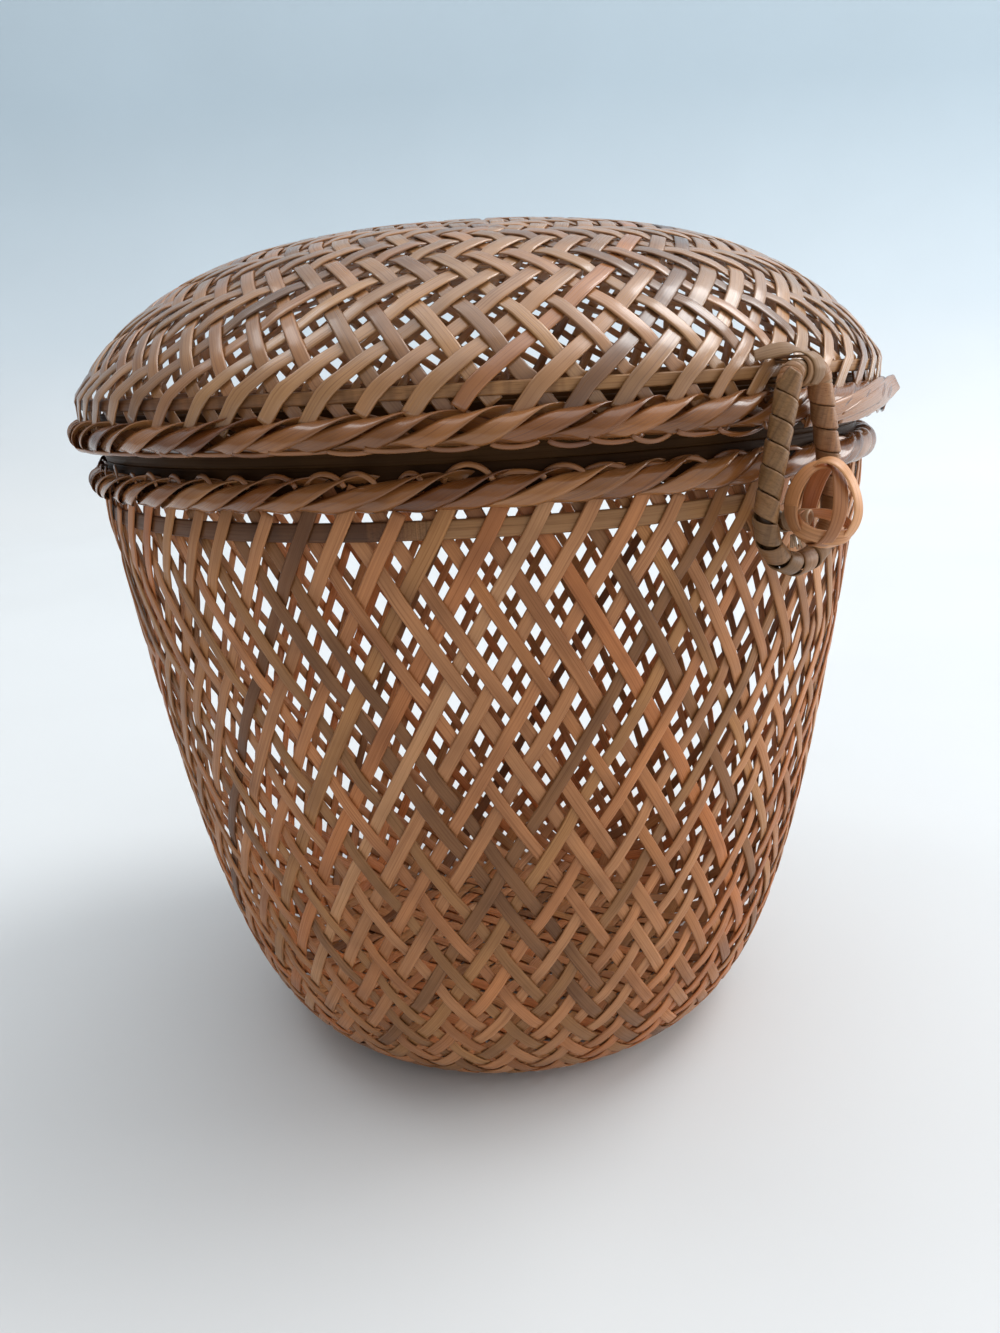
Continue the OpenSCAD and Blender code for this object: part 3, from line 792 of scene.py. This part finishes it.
def loop_wrap():
    """The splint wound round the rod, with close turns over its shoulders."""
    loop = Loop()
    ribbons = Ribbons()
    length = loop.marks[-1]
    pitch = 4.4
    start = 2.6
    turns = (length - 2 * start) / pitch
    t = np.linspace(0, turns, int(turns * 22))
    run = start + t * pitch
    middle, out = loop.line(run)
    normal = circle(out, -Y_AXIS, TURN * t)
    radius = WIND_R - 0.28 + 0.05 * np.sin(t * 5.1)
    along = unit(np.gradient(middle, axis=0))
    width = 4.02 + 0.12 * np.sin(t * 2.3)
    # the right leg's splint is painted redder: painted warm reflected light on the leg that lies in shade
    tone = np.where(run > loop.marks[2], 0.66, 0.42) + 0.12 * np.sin(t * 2.9)
    # each turn is tipped a little along the rod
    tipped = normal + 0.05 * along
    ribbons.add(middle + radius[:, None] * normal, tipped, width, thick=0.42, tone=tone, crown=0.1)
    # close turns over the shoulders, up to the lashings
    d = np.linspace(0.2, loop.marks[0] + 1.0, 26)
    a = np.linspace(0, TURN, 24, endpoint=False)
    for places in (d, length - d):
        middle, out = loop.line(places)
        for i in range(5):
            spot = 2 + 5 * i
            step = unit(middle[spot + 1] - middle[spot - 1])
            around = circle(out[spot], Y_AXIS, a)
            radius = 2.0 + 0.06 * (i % 2)
            band = middle[spot] + radius * around + 0.25 * np.sin(a)[:, None] * step
            tone = 0.45 + 0.1 * i
            ribbons.add(band, around, width=1.7, thick=0.4, tone=tone, crown=0.14, closed=True)
    ribbons.make("loop_winding", wrap_bamboo, "loop", "wrap_splint", ["loop_wrap"])


def stadium(y0, y1, z, radius, steps=14):
    """A closed band round two points on a level line, in the plane of the lid's motion."""
    back = circle(Y_AXIS, Z_AXIS, np.linspace(-np.pi / 2, np.pi / 2, steps))
    front = circle(Y_AXIS, Z_AXIS, np.linspace(np.pi / 2, 3 * np.pi / 2, steps))
    line = np.concatenate([[0, y1, z] + radius * back, [0, y0, z] + radius * front])
    return line, np.concatenate([back, front])


def lashing_tail(ribbons):
    """It comes out of the plaiting on the left and folds down over the bar."""
    marks = np.array([
        (-6.2, -96.2, 170.9), (-4.6, -98.2, 171.5), (-2.8, -99.7, 171.9), (-1.3, -101.0, 171.7),
        (-0.4, -102.4, 171.1), (0.1, -103.7, 170.8), (0.35, -104.9, 169.9), (0.45, -105.6, 168.3),
        (0.4, -105.4, 166.7), (0.3, -104.5, 165.5)])
    place = np.linspace(0, len(marks) - 1, 60)
    line = np.stack([np.interp(place, range(len(marks)), marks[:, axis]) for axis in range(3)], -1)
    smoothing_passes = 3
    for _ in range(smoothing_passes):
        line[1:-1] = (line[:-2] + 2 * line[1:-1] + line[2:]) / 4
    fold = np.clip((place - 2.5) / 1.5, 0, 1)[:, None]
    from_bar = (line - [0, LOOP_Y, LOOP_Z]) * [0, 1, 1]
    normal = (1 - fold) * np.array([-1.05, -2.1, 2.25]) + fold * from_bar
    width = np.interp(place, [0, 1, 7, 9], [2.6, 3.4, 3.1, 2.4])
    ribbons.add(line, normal, width, thick=0.45, tone=0.85, crown=0.1)


def loop_lashing(name, layer, width, skew, tone):
    """A flat band round the bar and through the lid's wall; the outer one has a tail."""
    ribbons = Ribbons()
    radius = CORE_R + 0.42 + 0.78 * layer
    back = -LID_R + WALL_T + 0.4 + 0.75 * layer
    line, normal = stadium(LOOP_Y, back - radius, LOOP_Z, radius)
    line[:, 0] += skew * normal[:, 2]
    ribbons.add(line, normal, width, thick=0.6, tone=tone, crown=0.1, closed=True)
    if layer:
        lashing_tail(ribbons)
    ribbons.make(name + "_splint", wrap_bamboo, "lid", "wrap_splint", [name])


def dress(name, material):
    """A look for a solid that stays as it is."""
    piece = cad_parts[name]
    piece.data.materials.clear()
    piece.data.materials.append(material)


loop_wrap()
dress("hinge_pin", pin_bamboo)
dress("loop_core", core_painted_shade)
loop_lashing("loop_lashing_inner", 0, width=3.5, skew=-0.1, tone=0.35)
loop_lashing("loop_lashing_outer", 1, width=4.1, skew=0.15, tone=0.8)


# Knob: a short wrapped stem and an open cage of interlaced bands

def knob_cage():
    """Splints bent into a loose ball of rings, drawn out upwards."""
    ribbons = Ribbons()
    centre = np.array([0, KNOB_Y, KNOB_Z])
    # each ring's turn and rise in degrees, phase, drop, flare and tone
    rings = [(-80, -12, 0.2, 0, 0.3, 0.95), (-28, 8, 2.2, 0, 0.5, 0.5),
             (-112, 20, 4.1, 0, -0.2, 0.1), (-40, 66, 1.2, -2.6, 0.3, 0.6)]
    t = np.linspace(0, TURN, 90, endpoint=False)
    for i, (turn, rise, phase, drop, flare, tone) in enumerate(rings):
        rise = math.radians(rise)
        axis = polar(math.cos(rise), math.radians(turn), math.sin(rise))
        first = unit(np.cross(axis, [0.3, 0.2, 1.0]))
        out = circle(first, np.cross(axis, first), t)
        radius = (KNOB_R - 0.6 - 0.25 * i + 0.35 * np.sin(2 * t + phase)) * (1 + 0.07 * drop)
        sway = 0.8 * np.sin(t + phase)
        line = out * radius[:, None] + axis * sway[:, None] + drop * Z_AXIS
        line[:, 2] *= 1 + 0.4 * np.clip(line[:, 2] / KNOB_R, 0, 1)
        normal = out + axis * (flare + 0.3 * np.sin(t + phase + 0.6))[:, None]
        width = 2.8 + 0.3 * np.sin(3 * t + phase)
        ribbons.add(centre + line, normal, width, thick=0.42, tone=tone, crown=0.08, closed=True)
    ribbons.make("knob_cage", knob_bamboo, "basket", "knob_splint",
                 ["knob_ring_outer", "knob_ring_middle", "knob_ring_inner"])


def knob_stem():
    """A wrapped core that holds the cage, with a frayed end and a knot inside the wall."""
    ribbons = Ribbons()
    reach = KNOB_Y + math.sqrt(KNOB_R ** 2 - (KNOB_Z - SHANK_Z) ** 2)
    wall = -NECK_R + 2.6
    # the wrapping, in the palest tone: painted light that keeps it pale in the shade inside the cage
    turns = 3.6
    t = np.linspace(0, turns, 90)
    normal = circle(X_AXIS, Z_AXIS, TURN * t)
    y = wall - 0.4 + (reach - 3.2 - wall) * t / turns
    line = np.stack([0 * t, y, SHANK_Z + 0.35 * t], -1) + 1.9 * normal
    ribbons.add(line, normal, width=2.5, thick=0.55, tone=0.96, crown=0.1)
    # the stem itself
    core = np.linspace([0, wall + 0.6, SHANK_Z], [0, reach - 1.2, SHANK_Z], 12)
    up = np.tile(Z_AXIS, (len(core), 1))
    ribbons.add(core, up, width=2.3, thick=2.0, tone=0.3, crown=0.3, edge=0.6)
    # its frayed end hangs under it, also in the palest tone as painted light
    for i in range(6):
        root = np.array([-1.3 + 0.5 * i, reach - 0.4 + 0.12 * i, SHANK_Z - 1.6])
        hang = np.array([0.3 * i - 0.8, -0.7, -2.2 - rng.random()])
        line = np.linspace(root, root + hang, 6)
        normal = np.tile([0.1 * i - 0.3, -1.0, 0.1], (len(line), 1))
        ribbons.add(line, normal, width=0.42, thick=0.16, tone=1.0, crown=0.02, edge=0.08)
    # the tie's knot inside the wall
    t = np.linspace(0, 2.6, 60)
    normal = circle(X_AXIS, Z_AXIS, TURN * t)
    middle = np.stack([0 * t, wall + 0.9 + 0.25 * np.sin(9 * t), 0 * t + SHANK_Z], -1)
    radius = 1.5 + 0.28 * t
    ribbons.add(middle + radius[:, None] * normal, normal, width=1.3, thick=0.5, tone=0.5)
    ribbons.make("knob_stem", wrap_bamboo, "basket", "wrap_splint", ["knob_shank"])


knob_cage()
knob_stem()


# Hinge lashings, round a border and round the pin

def hinge_lashing(name, x, wall_r, rim_r, flip, body_name):
    """Two bands side by side; flip is 1 for a border above the pin and -1 for one below it."""
    ribbons = Ribbons()
    eye = PIN_R + 0.5
    # the border's near edge is this far from the pin's axis
    rim_gap = 1.25
    near = rim_gap - 0.5
    far = rim_gap + RIM_H + 0.5
    inside = wall_r + 0.7
    # the outline, as distances from the axis and heights from the pin
    sweep = np.linspace(-np.pi / 2 - 0.2, np.pi / 2 - 0.35, 16)
    points = [(HINGE_Y + eye * math.cos(a), eye * math.sin(a)) for a in sweep]
    leave_y, leave_h = points[-1]
    tip_y = rim_r + 0.4
    points += [(tip_y + (leave_y - tip_y) * f, far + (leave_h - far) * f) for f in (0.66, 0.33)]
    points += [(tip_y, far), (inside + 0.5, far + 0.1), (inside, far - 0.3)]
    points += [(inside, near + 0.4), (inside + 0.6, near)]
    points += [(inside + (HINGE_Y - 1.2 - inside) * f, near - 0.1 * f) for f in (0.4, 0.7)]
    p = np.array(points)
    n = len(p)
    t = np.linspace(0, n, 90, endpoint=False)
    i = t.astype(int)
    curve = between(p[(i - 1) % n], p[i], p[(i + 1) % n], p[(i + 2) % n], (t - i)[:, None])
    line = np.stack([0 * t + x, curve[:, 0], HINGE_Z + flip * curve[:, 1]], -1)
    tangent = np.roll(line, -1, 0) - np.roll(line, 1, 0)
    normal = unit(np.cross(tangent, X_AXIS) * flip)
    for side in (-0.88, 0.88):
        ribbons.add(line + side * X_AXIS, normal, width=1.72, thick=0.6, tone=rng.random(), crown=0.1,
                    closed=True)
    ribbons.make(name + "_splint", wrap_bamboo, body_name, "wrap_splint", [name])


hinge_lashing("hinge_lashing_left", -8, NECK_R, BODY_RIM[0], -1, "basket")
hinge_lashing("hinge_lashing_right", 8, NECK_R, BODY_RIM[0], -1, "basket")
hinge_lashing("hinge_lashing_lid", 0, LID_R, LID_RIM[0], 1, "lid")


# Floor, backdrop, light and camera

def floor_material():
    """Pale, and bluer with height on the backdrop."""
    material, tree, shader = new_material("floor_pale")
    place = node(tree, "ShaderNodeTexCoord").outputs["Object"]
    height = ramp(tree, height_of(tree, place), [
        (0.02, (0.7, 0.72, 0.73)), (0.25, (0.57, 0.645, 0.7)), (0.6, (0.51, 0.62, 0.7))])
    cloud = noise(tree, place, 3.0, scale=3.0)
    mottle = ramp(tree, cloud, [(0.3, (0.95, 0.95, 0.95)), (0.7, (1, 1, 1))])
    tree.links.new(multiplied(tree, 1.0, height, mottle), shader.inputs["Base Color"])
    shader.inputs["Roughness"].default_value = 0.7
    return material


def stage():
    """A floor that bends up into a backdrop, square to the photograph's camera."""
    front, back, top = -1400, 900, 2200
    bend_r = 600
    half_w = 2600
    bend = np.linspace(0, math.pi / 2, 32)
    outline = [(front, 0)]
    outline += [(back + bend_r * math.sin(a), bend_r - bend_r * math.cos(a)) for a in bend]
    outline += [(back + bend_r, top)]
    c, s = math.cos(PHOTO_TURN), math.sin(PHOTO_TURN)
    verts = []
    for depth, height in outline:
        for side in (-half_w, half_w):
            verts.append(Vector((side * c + depth * s, depth * c - side * s, height)) * MM)
    faces = [(i, i + 1, i + 3, i + 2) for i in range(0, len(verts) - 2, 2)]
    mesh = bpy.data.meshes.new("floor")
    mesh.from_pydata(verts, [], faces)
    mesh.polygons.foreach_set("use_smooth", np.ones(len(mesh.polygons), bool))
    mesh.materials.append(floor_material())
    floor = bpy.data.objects.new("floor", mesh)
    bpy.context.scene.collection.objects.link(floor)


def camera():
    """The photograph's camera, fitted to its borders, hoops and outline."""
    distance, height = 269.26, 170.58
    pitch, yaw, roll = 0.28689, 0.00543, -0.0535
    focal_px, photo_height_px = 1000, 1333
    forward = Vector((math.sin(yaw) * math.cos(pitch), math.cos(yaw) * math.cos(pitch), -math.sin(pitch)))
    right = forward.cross(Vector((0, 0, 1))).normalized()
    up = right.cross(forward)
    c, s = math.cos(roll), math.sin(roll)
    right, up = c * right + s * up, -s * right + c * up
    pose = Matrix((right, up, -forward)).transposed().to_4x4()
    pose.translation = Vector((0, -distance, height)) * MM
    data = bpy.data.cameras.new("camera")
    data.sensor_width = 36.0
    data.lens = data.sensor_width * focal_px / photo_height_px
    data.clip_start = 0.01
    data.clip_end = 20
    made = bpy.data.objects.new("camera", data)
    made.matrix_world = Matrix.Rotation(-PHOTO_TURN, 4, "Z") @ pose
    bpy.context.scene.collection.objects.link(made)
    bpy.context.scene.camera = made


def lamp(name, place, aim_z, size, power, colour):
    """A round lamp aimed at a height on the basket's axis; its size is in metres."""
    data = bpy.data.lights.new(name, "AREA")
    data.shape = "DISK"
    data.size = size
    data.energy = power
    data.color = colour
    made = bpy.data.objects.new(name, data)
    made.location = Vector(place) * MM
    aim = Vector((0, 0, aim_z)) * MM - made.location
    made.rotation_euler = aim.to_track_quat("-Z", "Y").to_euler()
    bpy.context.scene.collection.objects.link(made)


def sky():
    """Soft light from all round, more of it from the window's side."""
    world = bpy.data.worlds.new("studio")
    world.use_nodes = True
    tree = world.node_tree
    place = node(tree, "ShaderNodeTexCoord")
    facing = node(tree, "ShaderNodeVectorMath", operation="DOT_PRODUCT")
    tree.links.new(place.outputs["Generated"], facing.inputs[0])
    facing.inputs[1].default_value = (0.36, -0.1, 0.4)
    half = node(tree, "ShaderNodeMath", operation="ADD")
    tree.links.new(facing.outputs["Value"], half.inputs[0])
    half.inputs[1].default_value = 0.5
    shade = ramp(tree, half.outputs[0], [
        (0.0, (0.14, 0.14, 0.15)), (0.5, (0.48, 0.49, 0.5)), (1.0, (0.96, 0.97, 0.98))])
    tree.links.new(shade, tree.nodes["Background"].inputs[0])
    tree.nodes["Background"].inputs[1].default_value = 1.0
    bpy.context.scene.world = world


stage()
camera()
lamp("window", (1900, -560, 2800), 120, 1.5, 40.0, (0.97, 0.99, 1.0))
lamp("above", (300, 0, 4600), 100, 4.5, 46.0, (0.98, 0.99, 1.0))
lamp("behind", (-900, 1100, 2500), 150, 0.8, 6.0, (0.97, 0.99, 1.0))
lamp("side", (3470, -1900, 1260), 100, 2.2, 76.0, (1.0, 0.98, 0.96))
sky()
bpy.context.scene.view_settings.view_transform = "Standard"
